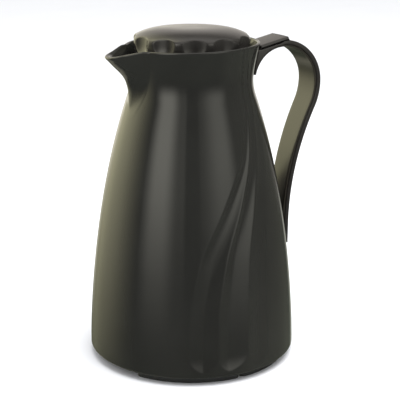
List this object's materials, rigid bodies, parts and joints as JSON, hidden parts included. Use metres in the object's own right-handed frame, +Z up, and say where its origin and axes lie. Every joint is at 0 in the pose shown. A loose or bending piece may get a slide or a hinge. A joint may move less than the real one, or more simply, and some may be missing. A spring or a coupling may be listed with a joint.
{
  "type": "thermal jug",
  "caption": "Glass-lined thermal coffee jug with a pouring spout, a strap handle, fluted sides and a dimpled twist lid on a lift-out stopper.",
  "frame": {"origin": "on the jug's axis, on the plane that it stands on", "axes": "+Z up along the jug's axis, +X towards the handle, -X towards the spout"},
  "size_m": [0.1747, 0.1502, 0.2395],
  "materials": {
    "shell_plastic": "polished near-black injection-moulded plastic with an olive cast",
    "handle_plastic": "polished near-black plastic",
    "strip_plastic": "satin near-black plastic",
    "lid_plastic": "polished near-black plastic",
    "inner_plastic": "moulded black plastic, fine texture",
    "stopper_plastic": "moulded grey food-safe plastic",
    "silicone": "soft translucent silicone",
    "black_rubber": "soft black rubber",
    "silvered_glass": "borosilicate glass, silvered on the vacuum side",
    "mineral_pad": "pressed mineral fibre",
    "foam": "expanded foam",
    "steel": "stainless screws"
  },
  "bodies": {
    "jug": {"body_shell": "shell_plastic", "handle_strap": "handle_plastic", "handle_inner_strip": "strip_plastic", "handle_thumb_pad": "handle_plastic", "handle_root_screws": "steel", "handle_tail_screw": "steel", "liner_outer_glass": "silvered_glass", "liner_inner_glass": "silvered_glass", "liner_spacer_pads": "mineral_pad", "liner_tip_guard": "black_rubber", "liner_cushion": "black_rubber", "liner_centring_ring": "foam", "base_cap": "inner_plastic", "base_gasket": "black_rubber", "base_feet": "black_rubber", "neck_collar": "inner_plastic", "collar_o_ring": "silicone", "mouth_gasket": "silicone"},
    "stopper": {"stopper_body": "stopper_plastic", "stopper_seal": "silicone"},
    "lid": {"lid_cap": "lid_plastic", "lid_drum": "stopper_plastic", "lid_foam": "foam", "lid_screws": "steel", "valve_o_ring": "silicone", "pivot_washer": "steel", "pivot_screw": "steel"}
  },
  "joints": [
    {"name": "lid_lift", "type": "slide", "parent": "jug", "child": "stopper", "axis": [0, 0, 1], "range_m": [0, 0.06]},
    {"name": "lid_turn", "type": "hinge", "parent": "stopper", "child": "lid", "pos_m": [0, 0, 0.2185], "axis": [0, 0, 1], "range_deg": [0, 60]}
  ]
}
